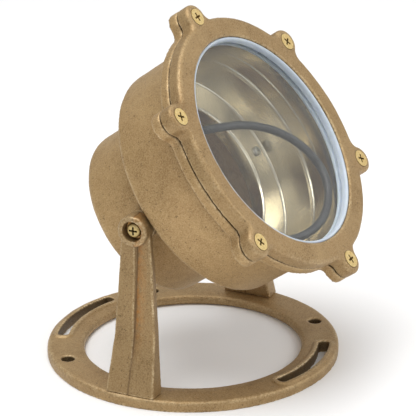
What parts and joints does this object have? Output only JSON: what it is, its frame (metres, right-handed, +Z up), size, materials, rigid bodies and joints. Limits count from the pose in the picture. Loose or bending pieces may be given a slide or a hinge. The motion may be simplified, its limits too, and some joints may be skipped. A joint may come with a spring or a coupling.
{
  "type": "underwater pond light",
  "caption": "Round cast bronze pond light with a clamped glass lens, tilting between two legs on an open ring base.",
  "frame": {"origin": "centre of the base ring's underside, on the surface that it stands on", "axes": "+Z up; X along the tilt axis; the lens faces -Y and up, tilted 36 degrees above level at rest"},
  "size_m": [0.1688, 0.187, 0.2087],
  "materials": {
    "cast_bronze": "sand cast, matt",
    "screw_brass": "machined, semi-gloss",
    "copper_washer": "tarnished",
    "silicone": "translucent white silicone",
    "lens_glass": "clear, polished",
    "polished_aluminium": "spun and polished",
    "zinc_steel": "zinc plated",
    "ceramic": "glazed ceramic",
    "quartz": "clear",
    "tungsten": "bare wire",
    "black_rubber": "satin",
    "core_insulation": "matt silicone",
    "ground_insulation": "satin",
    "block_plastic": "satin nylon"
  },
  "bodies": {
    "stand": {"base_ring": "cast_bronze", "leg_left": "cast_bronze", "leg_right": "cast_bronze", "leg_screws": "screw_brass"},
    "head": {"housing": "cast_bronze", "bezel_ring": "cast_bronze", "bezel_screws": "screw_brass", "lens_glass": "lens_glass", "lens_gasket": "silicone", "pivot_screws": "screw_brass", "pivot_washers": "copper_washer", "pivot_spring_washers": "copper_washer", "reflector_can": "polished_aluminium", "reflector_screws": "zinc_steel", "lamp_bracket": "zinc_steel", "bracket_screws": "zinc_steel", "lamp_dish": "polished_aluminium", "dish_screws": "zinc_steel", "lampholder": "ceramic", "lamp_pinch": "quartz", "lamp_pins": "zinc_steel", "lamp_envelope": "quartz", "lamp_filament": "tungsten", "terminal_block": "block_plastic", "terminal_screws": "screw_brass", "lamp_lead": "black_rubber", "lead_cores": "core_insulation", "ground_terminal": "copper_washer", "ground_screw": "screw_brass", "ground_lead": "ground_insulation", "gland_washer": "black_rubber", "gland_body": "screw_brass", "gland_seal": "black_rubber", "gland_nut": "screw_brass"}
  },
  "joints": [
    {"name": "head_tilt", "type": "hinge", "parent": "stand", "child": "head", "pos_m": [0, 0.0011, 0.1001], "axis": [-1, 0, 0], "range_deg": [-34, 144]}
  ]
}
